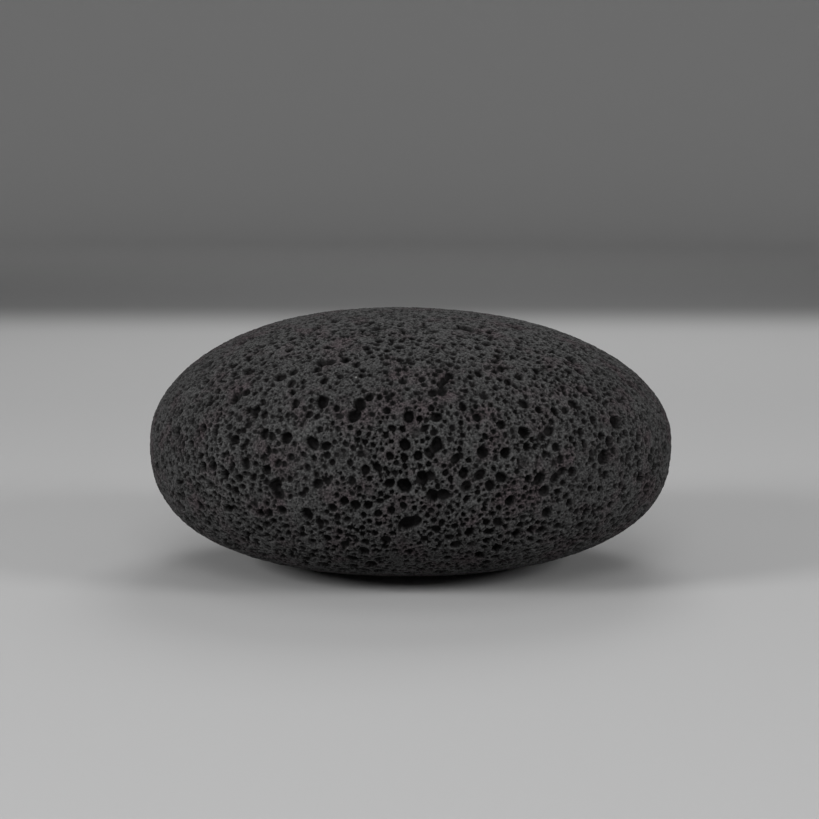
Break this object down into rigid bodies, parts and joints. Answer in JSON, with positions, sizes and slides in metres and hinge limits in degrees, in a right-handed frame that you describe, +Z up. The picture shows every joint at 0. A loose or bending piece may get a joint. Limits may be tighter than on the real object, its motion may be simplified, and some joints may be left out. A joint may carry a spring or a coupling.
{
  "type": "massage stone",
  "caption": "Smooth oval pebble of porous dark lava rock for hand massage, with a small flat underneath that it rests on.",
  "frame": {"origin": "middle of the stone's box, on the flat that it rests on", "axes": "+X along the length, towards the slightly narrower end; +Y from front to back; +Z up, through the crown"},
  "size_m": [0.1, 0.084, 0.0493],
  "materials": {
    "porous_basalt": "matte charcoal grey lava rock, tumbled smooth, pitted all over with open gas bubbles"
  },
  "bodies": {
    "root": {"stone": "porous_basalt"}
  },
  "joints": []
}
